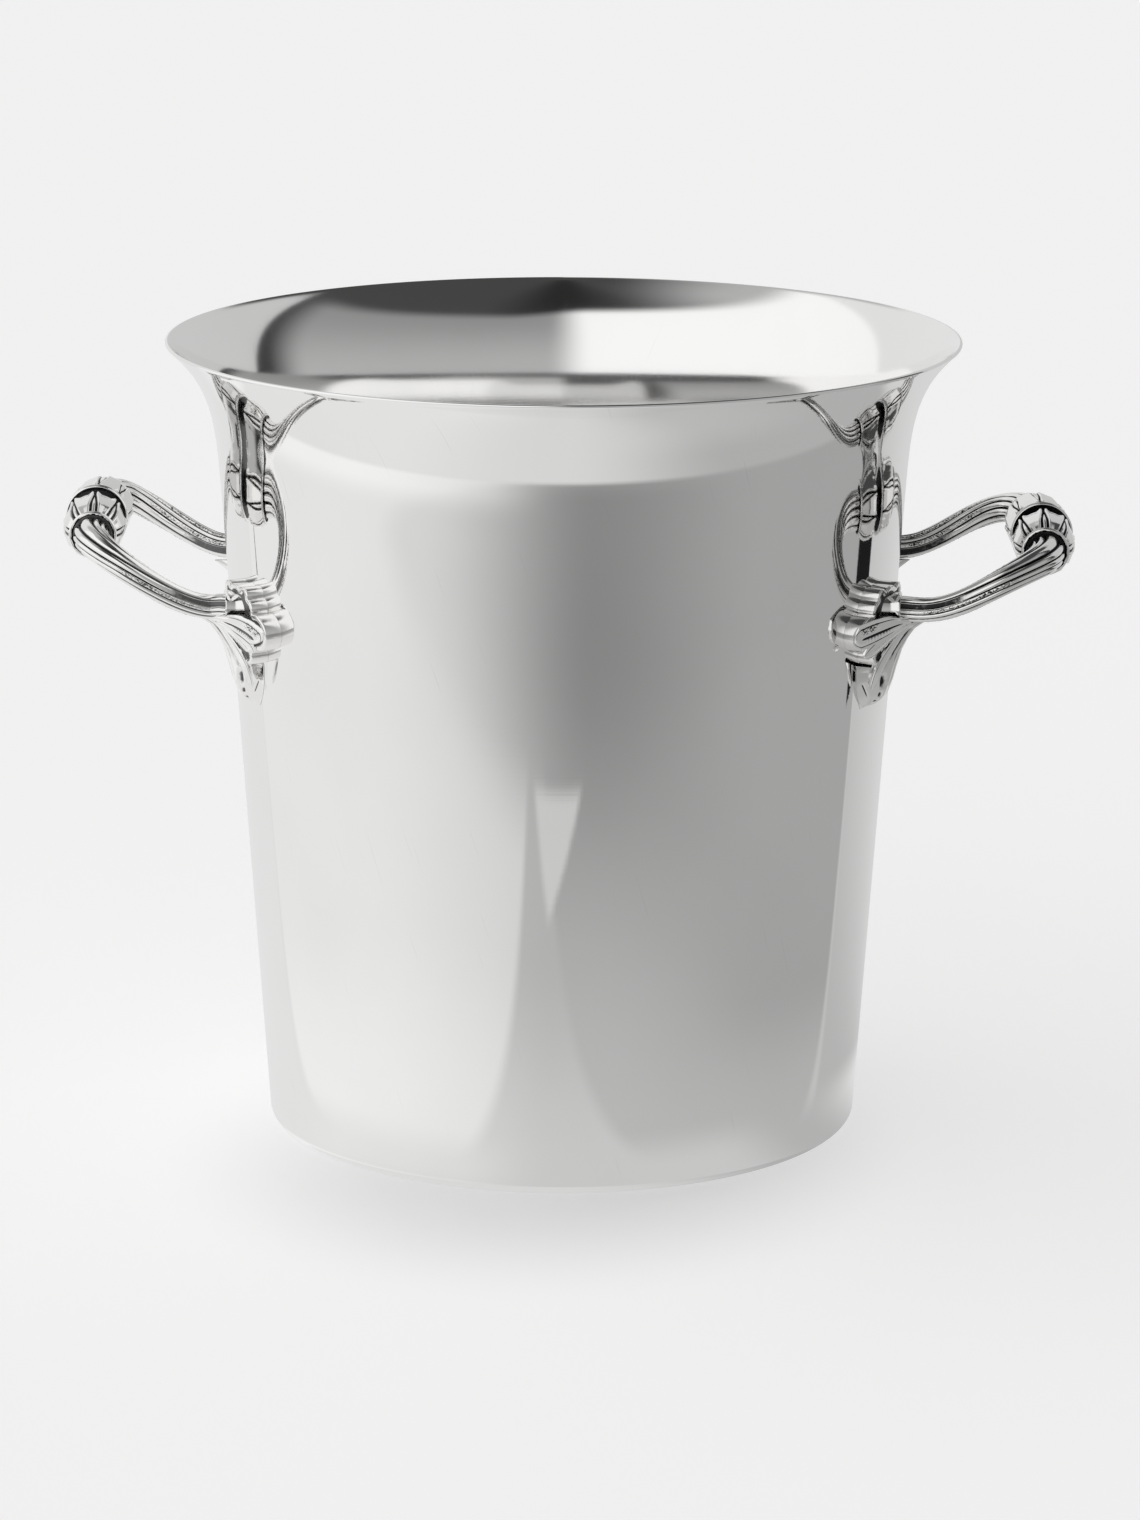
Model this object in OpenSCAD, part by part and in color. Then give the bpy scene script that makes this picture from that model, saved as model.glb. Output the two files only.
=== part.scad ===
// Silver champagne bucket: a spun body with a flared rim and a let-in base,
// and two soldered cast handles, each with leaf mounts, reeded arms and a leafy knop.
// Units are millimetres, +Z is up, and the origin is the centre of the resting face.

/* [Body] */
// Outer diameter across the rim
rim_d = 210; // [190:1:230]
// Height of the rim's outer edge
rim_z = 211.2; // [200:0.1:225]
// Radius of the straight taper, carried down to the resting plane
foot_r = 79.2; // [74:0.1:84]
// Growth of the wall's radius for each millimetre of height
taper = 0.0678; // [0.04:0.001:0.08]
// Height where the flare starts
flare_z = 168; // [155:1:180]
// Sharpness of the flare
flare_power = 4.1; // [3:0.1:5]
// Thickness of the spun sheet
sheet = 1; // [0.8:0.1:1.4]
// Radius of the lower corner
corner_r = 2.6; // [2:0.1:4]
// Width of the turned-in lip that the bucket rests on
lip_w = 8; // [5:0.5:12]
// Rise of the base disc at its centre
base_dome = 2; // [0:0.1:4]

/* [Mounts] */
// Angle of each mount from its handle's middle plane
mount_angle = 25.5; // [22:0.1:28]
// Height of the arm's root
root_z = 147.5; // [140:0.5:155]
// Thickness of the scalloped plate
plate_t = 5; // [3:0.1:6]
// Radius of the socket around the arm's root
socket_r = 4.4; // [4:0.1:5]
// Height of the leaf's lowest point
leaf_foot_z = 120.5; // [118:0.1:122]

/* [Handles] */
// Number of reeds round each arm
reeds = 11; // [8:1:12]
// Depth of the grooves between the reeds, as a share of the arm's radius
reed_depth = 0.16; // [0.05:0.01:0.2]
// Number of petals round each husk
petals = 8; // [7:1:10]
// Distance from the knop's middle to the end of each arm
knop_half = 24; // [22:0.5:25]
// Distance from the knop's middle to the lip of each front husk
front_lip_s = 8.5; // [7:0.1:9.5]
// Distance from the knop's middle to the lip of each rear husk
rear_lip_s = 2.2; // [1.6:0.1:9.5]
// Radius of the disc in the middle of the knop
disc_r = 8.4; // [8.2:0.1:9]
// Radius of the collars at the knop's ends
collar_r = 6.3; // [6:0.1:6.6]
// Radius of the spindle inside the knop
spindle_r = 3; // [2.5:0.1:3.5]

/* [Hidden] */

rim_r = rim_d / 2;
silver = [0.86, 0.86, 0.85];
dark_silver = [0.62, 0.62, 0.61];
gap = 0.02;

// Centre of each knop, the arms' shared end beside it (x, half-width, z),
// and the control points of the arm's curve from its root to that end.
right_knop = [127.5, 0, 159.6];
right_arm = [[87.5, 40.5, root_z], [94, 40, 147.5], [104, 45, 143.5],
             [112, 51, 161.5], [127, 44, 159.4], [126.5, knop_half, 159.4]];
left_knop = [124.2, 0, 163.6];
left_arm = [[87.5, 40.5, root_z], [93, 38, 147.5], [98, 41, 144],
            [113, 47.5, 160], [124.2, 42, 164.8], [123.3, knop_half, 163.1]];
// Radius of the arm, from root (0) to collar (1)
arm_radii = [[0, 3.4], [0.3, 3.3], [0.6, 3.6], [0.8, 4.1], [1, 5]];

// Half of the scalloped plate's outline: lobe centres (across, z) and radii
lobes = [[5, 151.5, 2.2], [6.6, 148.4, 2.6], [10.4, 142.6, 4.8], [4.6, 135.6, 2.6]];
plate_foot_z = 133;

// Acanthus leaf, by height: how far its crest stands off the wall, and its half-width
leaf_crest = [[120.5, 1.4], [121.5, 3], [124, 3.6], [128, 4.6], [132, 5.8], [136, 7],
              [139, 8.2], [142, 10.5], [144.2, 14]];
leaf_half_w = [[120.5, 1.6], [121.5, 3.2], [124, 4.4], [127, 5.2], [130, 5.8], [133, 6.6],
               [136, 9], [138.5, 12], [140.5, 11.5], [142, 7], [144.2, 2.6]];

// Outer and inner radii of a husk, by distance from the knop's middle
husk_base_s = knop_half - 1.2;
husk_outer = [[0, 8.3], [10.8, 8.25], [13.5, 8.2], [17, 8], [20, 7.4], [husk_base_s, 6]];
husk_floor_s = 14;

function cone_r(z) = foot_r + taper * z;
function wall_r(z) = cone_r(z)
    + (rim_r - cone_r(rim_z)) * pow(max(0, (z - flare_z) / (rim_z - flare_z)), flare_power);
function wall_slope(z) = (wall_r(z + 0.05) - wall_r(z - 0.05)) / 0.1;
// The sheet's inner face, at right angles to the outer one
function inner_point(z) = let (s = wall_slope(z), k = sheet / sqrt(1 + s * s))
    [wall_r(z) - k, z + k * s];
function wall_heights() = concat([for (z = [corner_r : 8 : flare_z]) z],
    [for (i = [0 : 14]) flare_z + 1 + i * (rim_z - flare_z - 1) / 14]);

function bezier(p, t) = len(p) == 1 ? p[0]
    : bezier([for (i = [0 : len(p) - 2]) p[i] * (1 - t) + p[i + 1] * t], t);
function unit(v) = v / norm(v);

// A point at height z, w round the wall from the mount's centre line, u off the wall
function on_wall(w, z, u) = let (a = mount_angle + w / cone_r(z) * 180 / PI)
    [(cone_r(z) + u) * cos(a), -(cone_r(z) + u) * sin(a), z];
// The same, but past the plate's face it follows the arm's own direction
function off_plate(w, z, u) = on_wall(w, z, min(u, plate_t)) + [max(0, u - plate_t), 0, 0];

// Closed solid through rings of equal length, capped at both ends
module loft(rings) {
    n = len(rings[0]);
    m = len(rings);
    polyhedron(
        points = [for (ring = rings) each ring],
        faces = concat(
            [[for (k = [n - 1 : -1 : 0]) k]],
            [for (i = [0 : m - 2], k = [0 : n - 1])
                let (a = i * n + k, b = i * n + (k + 1) % n) each [[a, b, b + n], [a, b + n, a + n]]],
            [[for (k = [0 : n - 1]) (m - 1) * n + k]]),
        convexity = 6);
}

// Places a piece turned about +Z along a knop's half, from its centre to an arm's end
module along_knop(knop, arm) {
    d = arm[5] - knop;
    e = [d.x, -d.y, d.z];
    translate(knop)
        rotate([0, acos(e.z / norm(e)), atan2(e.y, e.x)])
            children();
}

// The right handle is drawn as it stands, and the left one is mirrored across YZ.
// Each is drawn in its front half, and its rear half is mirrored across XZ.
module handed(left, rear) {
    mirror([left ? 1 : 0, 0, 0])
        mirror([0, rear ? 1 : 0, 0])
            children();
}

module body_shell() {
    rim_in = inner_point(rim_z);
    rim_mid = ([rim_r, rim_z] + rim_in) / 2;
    rim_turn = atan2(rim_z - rim_mid.y, rim_r - rim_mid.x);
    corner_x = wall_r(corner_r) - corner_r;
    color(silver)
        rotate_extrude($fn = 128)
            polygon(concat(
                [[corner_x - lip_w, 0]],
                [for (a = [-90 : 15 : -15]) [corner_x + corner_r * cos(a), corner_r * (1 + sin(a))]],
                [for (z = wall_heights()) [wall_r(z), z]],
                [for (a = [30 : 30 : 150]) rim_mid + sheet / 2 * [cos(rim_turn + a), sin(rim_turn + a)]],
                [for (i = [len(wall_heights()) - 1 : -1 : 0]) inner_point(wall_heights()[i])],
                [for (a = [-15 : -15 : -90])
                    [corner_x + (corner_r - sheet) * cos(a), corner_r + (corner_r - sheet) * sin(a)]],
                [[corner_x - lip_w, sheet]]));
}

module base_disc() {
    edge_r = wall_r(corner_r) - corner_r;
    dome_r = (edge_r * edge_r + base_dome * base_dome) / (2 * base_dome);
    function dome_z(r) = sqrt(dome_r * dome_r - r * r) - dome_r + base_dome;
    color(silver)
        rotate_extrude($fn = 128)
            polygon(concat(
                [for (r = [0 : 8 : edge_r]) [r, sheet + dome_z(r)]],
                [[edge_r, sheet + gap], [edge_r, 2 * sheet]],
                [for (r = [8 * floor(edge_r / 8) : -8 : 0]) [r, 2 * sheet + dome_z(r)]]));
}

module mount_plate() {
    color(silver)
        difference() {
            union() {
                intersection() {
                    rotate([0, 0, -mount_angle])
                        rotate([90, 0, 90])
                            linear_extrude(height = rim_r)
                                plate_outline();
                    rotate_extrude($fn = 128)
                        polygon([[0, plate_foot_z - 5],
                                 [cone_r(plate_foot_z - 5) + plate_t, plate_foot_z - 5],
                                 [cone_r(root_z + 10) + plate_t, root_z + 10],
                                 [0, root_z + 10]]);
                }
                translate([80, -right_arm[0].y, root_z])
                    rotate([0, 90, 0])
                        cylinder(h = right_arm[0].x - 80, r = socket_r, $fn = 48);
            }
            rotate_extrude($fn = 128)
                polygon([[0, plate_foot_z - 6], [cone_r(plate_foot_z - 6), plate_foot_z - 6],
                         [cone_r(root_z + 11), root_z + 11], [0, root_z + 11]]);
        }
}

module plate_outline() {
    top = lobes[0];
    low = lobes[3];
    for (side = [-1, 1], l = lobes)
        translate([side * l.x, l.y])
            circle(r = l.z, $fn = 48);
    polygon(concat(
        [for (i = [0 : 3]) [lobes[i].x, lobes[i].y]], [[low.x, plate_foot_z], [-low.x, plate_foot_z]],
        [for (i = [3 : -1 : 0]) [-lobes[i].x, lobes[i].y]],
        [[-top.x, top.y + top.z], [top.x, top.y + top.z]]));
}

module acanthus_leaf() {
    across = 8;
    low = [for (i = [0 : 10]) leaf_foot_z + i * (plate_foot_z - 0.2 - leaf_foot_z) / 10];
    high = [for (i = [0 : 12]) plate_foot_z + i * (144.2 - plate_foot_z) / 12];
    function back_u(z) = (z < plate_foot_z ? 0 : plate_t) + gap;
    function front_u(z, q) = back_u(z) + 0.3
        + max(0, lookup(z, leaf_crest) - back_u(z) - 0.3) * pow(1 - q * q, 0.6);
    function ring(z) = let (hw = lookup(z, leaf_half_w)) concat(
        [for (k = [-across : across]) off_plate(hw * k / across, z, back_u(z))],
        [for (k = [across : -1 : -across]) off_plate(hw * k / across, z, front_u(z, k / across))]);
    color(silver)
        loft([for (z = concat(low, high)) ring(z)]);
}

module arm(points) {
    steps = 24;
    sides = 3 * reeds;
    front = [for (p = points) [p.x, -p.y, p.z]];
    function tangent(t) = unit(bezier(front, min(1, t + 0.01)) - bezier(front, max(0, t - 0.01)));
    function aim(t) = t == 0 ? [1, 0, 0] : tangent(t);
    function ring(t) = let (across = unit(cross(aim(t), [0, 0, 1])), over = cross(across, aim(t)))
        [for (k = [0 : sides - 1])
            let (a = 360 * k / sides, r = lookup(t, arm_radii) * (k % 3 == 0 ? 1 - reed_depth : 1))
                bezier(front, t) + r * (cos(a) * across + sin(a) * over)];
    color(silver)
        loft([for (i = [0 : steps]) ring(i / steps)]);
}

module collar() {
    s = knop_half;
    color(silver)
        rotate_extrude($fn = 64)
            polygon([[0, husk_base_s + gap], [collar_r - 0.4, husk_base_s + gap], [collar_r, s - 0.7],
                     [collar_r - 0.3, s - 0.2], [collar_r, s + 0.3], [collar_r - 0.2, s + 0.9],
                     [collar_r - 0.7, s + 0.9], [collar_r - 0.9, s + gap], [0, s + gap]]);
}

module husk(lip_s) {
    sides = 8 * petals;
    cup = [[lip_s, 7], [10.8, 6.2], [12.4, 5.1], [husk_floor_s, 3.6]];
    // From one dart to the next, a petal is a hollow panel between two ridges that end in points
    relief = [0.91, 1, 0.985, 0.975, 0.97, 0.975, 0.985, 1];
    edge_dip = [1.5, 0, 0.5, 0.8, 0.9, 0.8, 0.5, 0];
    function edge_s(i, k) = i[0] + (i[0] == lip_s ? edge_dip[k % 8] : 0);
    function outer_ring(i) = [for (k = [0 : sides - 1])
        let (a = 360 * k / sides, r = i[1] * relief[k % 8]) [r * cos(a), r * sin(a), edge_s(i, k)]];
    function cup_ring(i) = [for (k = [0 : sides - 1])
        let (a = 360 * k / sides) [i[1] * cos(a), i[1] * sin(a), edge_s(i, k)]];
    color(silver)
        loft(concat(
            [for (i = [len(husk_outer) - 1 : -1 : 1]) outer_ring(husk_outer[i])],
            [outer_ring([lip_s, lookup(lip_s, husk_outer)])],
            [for (i = cup) cup_ring(i)]));
}

module knop_disc() {
    color(silver)
        rotate([90, 0, 0])
            rotate_extrude($fn = 96)
                polygon([[spindle_r + 1, -0.7], [disc_r - 1.2, -0.5], [disc_r - 0.8, -1],
                         [disc_r - 0.2, -0.9], [disc_r, -0.55], [disc_r - 0.3, 0],
                         [disc_r, 0.55], [disc_r - 0.2, 0.9], [disc_r - 0.8, 1],
                         [disc_r - 1.2, 0.5], [spindle_r + 1, 0.7]]);
}

module knop_spindle() {
    color(dark_silver)
        rotate([90, 0, 0])
            rotate_extrude($fn = 64)
                polygon([[0, -husk_floor_s + 0.2], [spindle_r, -husk_floor_s + 0.2], [spindle_r, -6],
                         [spindle_r + 1, -2], [spindle_r + 1, 2], [spindle_r, 6],
                         [spindle_r, husk_floor_s - 0.2], [0, husk_floor_s - 0.2]]);
}

body_shell();
base_disc();

handed(false, false) mount_plate();  // right_front_mount_plate
handed(false, true) mount_plate();  // right_rear_mount_plate
handed(false, false) acanthus_leaf();  // right_front_acanthus_leaf
handed(false, true) acanthus_leaf();  // right_rear_acanthus_leaf
handed(false, false) arm(right_arm);  // right_front_arm
handed(false, true) arm(right_arm);  // right_rear_arm
handed(false, false) along_knop(right_knop, right_arm) collar();  // right_front_collar
handed(false, true) along_knop(right_knop, right_arm) collar();  // right_rear_collar
handed(false, false) along_knop(right_knop, right_arm) husk(front_lip_s);  // right_front_husk
handed(false, true) along_knop(right_knop, right_arm) husk(rear_lip_s);  // right_rear_husk
translate(right_knop) knop_disc();  // right_knop_disc
translate(right_knop) knop_spindle();  // right_knop_spindle

handed(true, false) mount_plate();  // left_front_mount_plate
handed(true, true) mount_plate();  // left_rear_mount_plate
handed(true, false) acanthus_leaf();  // left_front_acanthus_leaf
handed(true, true) acanthus_leaf();  // left_rear_acanthus_leaf
handed(true, false) arm(left_arm);  // left_front_arm
handed(true, true) arm(left_arm);  // left_rear_arm
handed(true, false) along_knop(left_knop, left_arm) collar();  // left_front_collar
handed(true, true) along_knop(left_knop, left_arm) collar();  // left_rear_collar
handed(true, false) along_knop(left_knop, left_arm) husk(front_lip_s);  // left_front_husk
handed(true, true) along_knop(left_knop, left_arm) husk(rear_lip_s);  // left_rear_husk
mirror([1, 0, 0]) translate(left_knop) knop_disc();  // left_knop_disc
mirror([1, 0, 0]) translate(left_knop) knop_spindle();  // left_knop_spindle
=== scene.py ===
"""Silver champagne bucket: detailed meshes, silver finishes, studio and camera."""
import math

import bmesh
import bpy
import numpy as np
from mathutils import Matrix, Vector


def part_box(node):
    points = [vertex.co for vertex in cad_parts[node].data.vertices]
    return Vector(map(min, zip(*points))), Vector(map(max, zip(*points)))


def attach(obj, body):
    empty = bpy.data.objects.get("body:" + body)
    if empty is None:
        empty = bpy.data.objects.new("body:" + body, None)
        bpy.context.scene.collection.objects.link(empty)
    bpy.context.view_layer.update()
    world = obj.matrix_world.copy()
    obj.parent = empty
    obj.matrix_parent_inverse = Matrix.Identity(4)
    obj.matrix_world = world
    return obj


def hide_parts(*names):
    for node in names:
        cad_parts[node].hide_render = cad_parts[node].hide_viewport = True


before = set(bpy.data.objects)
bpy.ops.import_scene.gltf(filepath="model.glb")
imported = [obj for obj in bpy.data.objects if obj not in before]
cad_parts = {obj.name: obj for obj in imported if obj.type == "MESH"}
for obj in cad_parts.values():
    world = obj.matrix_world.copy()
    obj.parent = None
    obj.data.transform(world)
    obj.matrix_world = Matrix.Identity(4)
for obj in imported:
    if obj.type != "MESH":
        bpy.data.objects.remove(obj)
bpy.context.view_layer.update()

MM = 0.001
DEGREES = 180 / math.pi

# ---------------------------------------------------------------- dimensions, in millimetres
RIM_R = 104.99
RIM_Z = 211.19
FOOT_R = 79.2
TAPER = 0.0678
FLARE_Z = 168.0
FLARE_POWER = 4.1
SHEET = 1.0
CORNER_R = 2.6
LIP_W = 8.0
BASE_DOME = 2.0

MOUNT_ANGLE = math.radians(25.5)
PLATE_T = 5.0
SOCKET_R = 4.4
PLATE_FOOT_Z = 133.0
# Scalloped plate: lobe centres (across, z) and radii, from the top down
LOBES = [(5.0, 151.5, 2.2), (6.6, 148.4, 2.6), (10.4, 142.6, 4.8), (4.6, 135.6, 2.6)]
PLATE_CENTRE = (0.0, 142.4)
# How deep the plate's field is sunk, how round its edge is, and the X that its socket rises from
FIELD_SINK = 0.4
PLATE_EDGE_R = 0.55
SOCKET_X = 80.5

# The leaf's tail by height: how far its crest stands off the wall, and its half-width
TAIL_FOOT_Z = 120.5
TAIL_TOP_Z = 144.3
TAIL_CREST = ([TAIL_FOOT_Z, 121.5, 124, 128, 132, 136, 139, 142, TAIL_TOP_Z],
              [1.6, 2.8, 4.4, 5.6, 6.4, 7.4, 8.8, 10.8, 14.0])
TAIL_HALF = ([TAIL_FOOT_Z, 123, 126, 130, 133, 136, 139, 142, TAIL_TOP_Z],
             [4.6, 6.4, 7.9, 8.8, 8.8, 7.2, 5.0, 3.4, 2.2])
# Where the tail's slots, ridges and fine lines run, as shares of its half-width
REAR_SLOT = -0.06
FRONT_SLOT = 0.40
FAR_SLOT = -0.55
MAIN_RIDGE = 0.2
PIT_ROW = 0.30
# For each side: how far the broad blade reaches, its tip's height and stand-off,
# how far the tail lies round the wall, and how much its crest is raised
LEAF_SIDES = {"right": (16.6, 142.0, 4.0, -1.8, 0.8), "left": (12.6, 140.4, 5.4, -5.0, -0.2)}

REEDS = 11
REED_DEPTH = 0.25
# Reeds counted round an arm: some turn hollow towards its root and are painted dark there as a reflection,
# and some have a stippled stretch
FLUTED_REEDS = (1, 6)
STIPPLED_REEDS = (0, 3, 5, 8)
PETALS = 8
KNOP_HALF = 24.0
DISC_R = 8.4
COLLAR_R = 6.3
SPINDLE_R = 3.0
HUSK_BASE_S = KNOP_HALF - 1.2
HUSK_LIP_S = {"front": 8.5, "rear": 2.2}
HUSK_FLOOR_S = 14.0

# Control points of each arm's curve (x, half-width, z), from its root to the knop
ARMS = {
    "right": [(87.5, 40.5, 147.5), (94, 40, 147.5), (104, 45, 143.5),
              (112, 51, 161.5), (127, 44, 159.4), (126.5, 24, 159.4)],
    "left": [(87.5, 40.5, 147.5), (93, 38, 147.5), (98, 41, 144),
             (113, 47.5, 160), (124.2, 42, 164.8), (123.3, 24, 163.1)],
}
ARM_LENGTH = 74
ARM_RADII = ([0, 0.3, 0.6, 0.8, 1], [3.4, 3.3, 3.6, 4.1, 5.0])


def knop_centre(side):
    """Middle of a knop, seen on the right-hand side, in millimetres."""
    low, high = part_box(side + "_knop_disc")
    centre = (low + high) / (2 * MM)
    return np.array([abs(centre.x), 0.0, centre.z])


# ---------------------------------------------------------------- curves and grids
def smooth_curve(x, xs, ys):
    """Smooth curve through the points xs, ys, evaluated at x."""
    xs, ys = np.asarray(xs, float), np.asarray(ys, float)
    slope = np.gradient(ys, xs)
    x = np.clip(x, xs[0], xs[-1])
    k = np.clip(np.searchsorted(xs, x, "right") - 1, 0, len(xs) - 2)
    h = xs[k + 1] - xs[k]
    t = (x - xs[k]) / h
    return (ys[k] * (1 + 2 * t) * (1 - t) ** 2 + h * slope[k] * t * (1 - t) ** 2
            + ys[k + 1] * t ** 2 * (3 - 2 * t) + h * slope[k + 1] * t ** 2 * (t - 1))


def ease(x, low, high):
    """0 below low, 1 above high, and smooth in between."""
    t = np.clip((x - low) / (high - low), 0, 1)
    return t * t * (3 - 2 * t)


def bell(x, centre, width):
    """1 at the centre, and close to 0 two widths away."""
    return np.exp(-((x - centre) / width) ** 2)


def bezier(controls, t):
    """Points of a Bezier curve of any degree at the parameters t."""
    points = [np.asarray(c, float)[None, :] for c in controls]
    t = np.asarray(t, float)[:, None]
    while len(points) > 1:
        points = [a * (1 - t) + b * t for a, b in zip(points[:-1], points[1:])]
    return points[0]


def unit(v):
    return v / np.linalg.norm(v, axis=-1, keepdims=True)


def arc(centre, radius, start, end, count):
    """Points along a circular arc, angles in degrees."""
    a = np.radians(np.linspace(start, end, count))
    return [(centre[0] + radius * math.cos(x), centre[1] + radius * math.sin(x)) for x in a]


def grid_faces(rows, cols, start=0):
    """Quads between neighbouring rings of equal length."""
    r = np.arange(rows - 1)[:, None]
    c = np.arange(cols)[None, :]
    a = start + r * cols + c
    b = start + r * cols + (c + 1) % cols
    return np.stack([a, b, b + cols, a + cols], -1).reshape(-1, 4).tolist()


class Shape:
    """Collects rings of points into one closed mesh, with a value at each point, called recess.

    On castings it runs from 0 for polished to 1 for dark, the dark being painted shade with tarnish, and
    on sheet it is 1 inside the bucket.
    """

    def __init__(self):
        self.points, self.faces, self.recess = [], [], []
        self.count = 0

    def loft(self, rings, recess=0.0, closed=False):
        """Adds a skin through rings of equal length, capped at both ends unless it closes on itself."""
        rings = np.asarray(rings, float)
        rows, cols = rings.shape[:2]
        start = self.count
        self.points.append(rings.reshape(-1, 3))
        self.recess.append(np.broadcast_to(recess, (rows, cols)).reshape(-1))
        self.faces += grid_faces(rows, cols, start)
        last = start + (rows - 1) * cols
        if closed:
            self.faces += [[last + k, last + (k + 1) % cols, start + (k + 1) % cols, start + k]
                           for k in range(cols)]
        else:
            self.faces.append(list(range(start, start + cols)))
            self.faces.append(list(range(last, last + cols)))
        self.count += rows * cols
        return self

    def piece(self, name, place=None):
        """Makes the Blender object, in metres, with clean outward normals."""
        points = np.concatenate(self.points)
        if place is not None:
            points = place(points)
        mesh = bpy.data.meshes.new(name)
        mesh.from_pydata((points * MM).tolist(), [], self.faces)
        layer = mesh.attributes.new("recess", "FLOAT", "POINT")
        layer.data.foreach_set("value", np.concatenate(self.recess).astype(np.float32))
        work = bmesh.new()
        work.from_mesh(mesh)
        bmesh.ops.remove_doubles(work, verts=work.verts, dist=2e-7)
        bmesh.ops.dissolve_degenerate(work, dist=1e-7, edges=work.edges)
        bmesh.ops.recalc_face_normals(work, faces=work.faces)
        work.to_mesh(mesh)
        work.free()
        mesh.shade_smooth()
        mesh.set_sharp_from_angle(angle=math.radians(48))
        piece = bpy.data.objects.new(name, mesh)
        bpy.context.scene.collection.objects.link(piece)
        return piece


def lathe_rings(profile, sides):
    """Rings of a turned shape about +Z, one for each profile point (radius, height)."""
    a = np.linspace(0, 2 * math.pi, sides, endpoint=False)
    profile = np.asarray(profile, float)
    r, z = profile[:, 0][:, None], profile[:, 1][:, None]
    return np.stack([r * np.cos(a), r * np.sin(a), z + 0 * a], -1)


def fit(piece, node, material):
    """Puts a finished piece on the frame in place of its CAD node."""
    piece.data.materials.clear()
    piece.data.materials.append(material)
    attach(piece, "root")
    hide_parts(node)
    return piece


# ---------------------------------------------------------------- body
def cone_r(z):
    """Radius of the plain cone under the flare, at height z."""
    return FOOT_R + TAPER * z


def wall_r(z):
    """Outer radius of the wall at height z."""
    rise = np.maximum(0, (np.asarray(z, float) - FLARE_Z) / (RIM_Z - FLARE_Z))
    return cone_r(z) + (RIM_R - cone_r(RIM_Z)) * rise ** FLARE_POWER


def wall_slope(z):
    """How much the wall widens for each millimetre of height."""
    return (wall_r(z + 0.05) - wall_r(z - 0.05)) / 0.1


def inner_point(z):
    """The sheet's inner face, at right angles to the outer one."""
    slope = wall_slope(z)
    k = SHEET / math.sqrt(1 + slope * slope)
    return float(wall_r(z)) - k, z + k * slope


def body_profile():
    """Closed profile of the wall's sheet, and how many of its last points face inwards."""
    heights = np.concatenate([np.linspace(CORNER_R, FLARE_Z, 60), np.linspace(FLARE_Z, RIM_Z, 56)[1:]])
    rim_in = inner_point(RIM_Z)
    middle = ((RIM_R + rim_in[0]) / 2, (RIM_Z + rim_in[1]) / 2)
    turn = math.degrees(math.atan2(RIM_Z - middle[1], RIM_R - middle[0]))
    corner = (float(wall_r(CORNER_R)) - CORNER_R, CORNER_R)
    profile = [(corner[0] - LIP_W, SHEET), (corner[0] - LIP_W - 0.25, SHEET / 2), (corner[0] - LIP_W, 0)]
    profile += arc(corner, CORNER_R, -90, -6, 15)
    profile += [(float(wall_r(z)), z) for z in heights]
    profile += arc(middle, SHEET / 2, turn + 15, turn + 165, 11)
    inner = [inner_point(z) for z in heights[::-1]]
    inner += arc(corner, CORNER_R - SHEET, -6, -90, 12)
    return profile + inner, len(inner)


def make_body(material):
    profile, inner_rows = body_profile()
    rings = lathe_rings(profile, 384)
    inside = np.arange(len(profile)) >= len(profile) - inner_rows
    shell = Shape().loft(rings, inside[:, None] * 1.0, closed=True).piece("bucket_body")
    shell.data.set_sharp_from_angle(angle=math.radians(60))
    fit(shell, "body_shell", material)


def make_base(material):
    edge_r = float(wall_r(CORNER_R)) - CORNER_R
    dome_r = (edge_r ** 2 + BASE_DOME ** 2) / (2 * BASE_DOME)

    def dome_z(r):
        return math.sqrt(dome_r ** 2 - r * r) - dome_r + BASE_DOME

    radii = np.linspace(0.02, edge_r, 40)
    profile = [(r, SHEET + dome_z(r) + 0.02) for r in radii]
    profile += [(r, 2 * SHEET + dome_z(r)) for r in radii[::-1]]
    disc = Shape().loft(lathe_rings(profile, 192), 1.0).piece("bucket_base")
    fit(disc, "base_disc", material)


# ---------------------------------------------------------------- mounts
def off_plate(w, z, u):
    """Point at height z, w round the wall from the mount's middle and u off the wall, bending to +X."""
    a = MOUNT_ANGLE + w / cone_r(z)
    r = cone_r(z) + np.minimum(u, PLATE_T)
    return np.stack([r * np.cos(a) + np.maximum(0, u - PLATE_T), -r * np.sin(a), z + 0 * r], -1)


def circle_exit(direction, centre, radius):
    """Distance at which a ray from the plate's centre leaves a circle, or 0."""
    offset = np.array(centre) - np.array(PLATE_CENTRE)
    along = direction @ offset
    inside = radius ** 2 - (offset @ offset - along ** 2)
    return np.where((inside > 0) & (along + np.sqrt(np.maximum(inside, 0)) > 0),
                    along + np.sqrt(np.maximum(inside, 0)), 0)


def plate_outline(count):
    """Scalloped outline of the mount plate, as (across, z), and its outward directions."""
    a = np.linspace(0, 2 * math.pi, count, endpoint=False)
    direction = np.stack([np.sin(a), -np.cos(a)], -1)
    core = [((0, 148.6), 5.1), ((0, 142.4), 6.6), ((0, 137.6), 4.9)]
    reach = np.zeros(count)
    for side in (-1, 1):
        for across, z, radius in LOBES:
            reach = np.maximum(reach, circle_exit(direction, (side * across, z), radius))
    for centre, radius in core:
        reach = np.maximum(reach, circle_exit(direction, centre, radius))
    outline = np.array(PLATE_CENTRE) + direction * reach[:, None]
    step = np.roll(outline, -1, 0) - np.roll(outline, 1, 0)
    outward = unit(np.stack([-step[:, 1], step[:, 0]], -1))
    flip = np.sign((outward * direction).sum(-1, keepdims=True))
    return outline, outward * np.where(flip == 0, 1, flip)


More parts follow.
